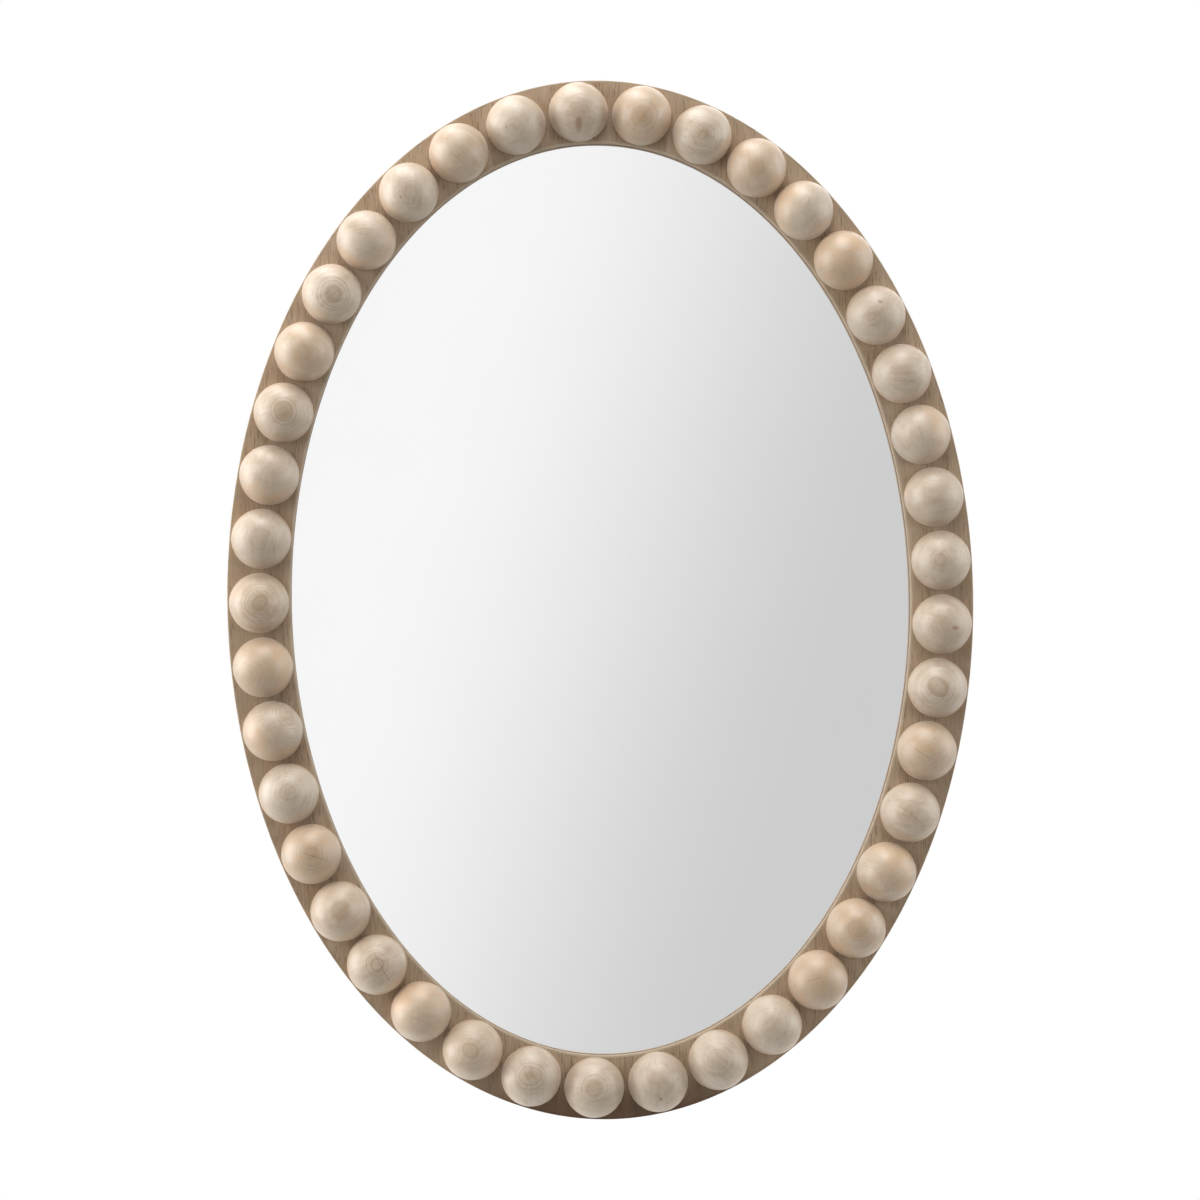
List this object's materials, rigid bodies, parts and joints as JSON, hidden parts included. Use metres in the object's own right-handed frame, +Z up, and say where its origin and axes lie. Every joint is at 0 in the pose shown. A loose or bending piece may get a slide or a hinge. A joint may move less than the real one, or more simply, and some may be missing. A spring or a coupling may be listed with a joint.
{
  "type": "oval wall mirror",
  "caption": "Oval wall mirror: flat glass in a wide wooden border that carries a row of half-round turned beads, hung by two D rings on the back.",
  "frame": {"origin": "on the wall plane, which the bumpers touch, behind the middle of the oval", "axes": "+Z up along the long axis of the oval, -Y out of the front towards the room, +X to the right as seen from the front"},
  "size_m": [0.624, 0.047, 0.8679],
  "materials": {
    "board_veneer": "satin",
    "edge_banding": "satin",
    "bead_wood": "satin",
    "silvered_glass": "polished",
    "liner": "matte",
    "hardboard": "matte",
    "pin_wood": "matte",
    "zinc_steel": "satin",
    "bumper_rubber": "matte"
  },
  "bodies": {
    "mirror": {"frame_board": "board_veneer", "outer_edge_strip": "edge_banding", "inner_edge_strip": "edge_banding", "mirror_glass": "silvered_glass", "liner_sheet": "liner", "backing_board": "hardboard", "backing_screws": "zinc_steel", "bead_pins": "pin_wood", "bead_01": "bead_wood", "bead_02": "bead_wood", "bead_03": "bead_wood", "bead_04": "bead_wood", "bead_05": "bead_wood", "bead_06": "bead_wood", "bead_07": "bead_wood", "bead_08": "bead_wood", "bead_09": "bead_wood", "bead_10": "bead_wood", "bead_11": "bead_wood", "bead_12": "bead_wood", "bead_13": "bead_wood", "bead_14": "bead_wood", "bead_15": "bead_wood", "bead_16": "bead_wood", "bead_17": "bead_wood", "bead_18": "bead_wood", "bead_19": "bead_wood", "bead_20": "bead_wood", "bead_21": "bead_wood", "bead_22": "bead_wood", "bead_23": "bead_wood", "bead_24": "bead_wood", "bead_25": "bead_wood", "bead_26": "bead_wood", "bead_27": "bead_wood", "bead_28": "bead_wood", "bead_29": "bead_wood", "bead_30": "bead_wood", "bead_31": "bead_wood", "bead_32": "bead_wood", "bead_33": "bead_wood", "bead_34": "bead_wood", "bead_35": "bead_wood", "bead_36": "bead_wood", "bead_37": "bead_wood", "bead_38": "bead_wood", "bead_39": "bead_wood", "bead_40": "bead_wood", "bead_41": "bead_wood", "hanger_strap_left": "zinc_steel", "hanger_strap_right": "zinc_steel", "hanger_screws": "zinc_steel", "bumper_upper_right": "bumper_rubber", "bumper_upper_left": "bumper_rubber", "bumper_lower_left": "bumper_rubber", "bumper_lower_right": "bumper_rubber"},
    "ring_left": {"d_ring_left": "zinc_steel"},
    "ring_right": {"d_ring_right": "zinc_steel"}
  },
  "joints": [
    {"name": "ring_left_swing", "type": "hinge", "parent": "mirror", "child": "ring_left", "pos_m": [-0.27065, -0.00465, 0.15], "axis": [1, 0, 0], "range_deg": [0, 178]},
    {"name": "ring_right_swing", "type": "hinge", "parent": "mirror", "child": "ring_right", "pos_m": [0.27065, -0.00465, 0.15], "axis": [1, 0, 0], "range_deg": [0, 178]}
  ]
}
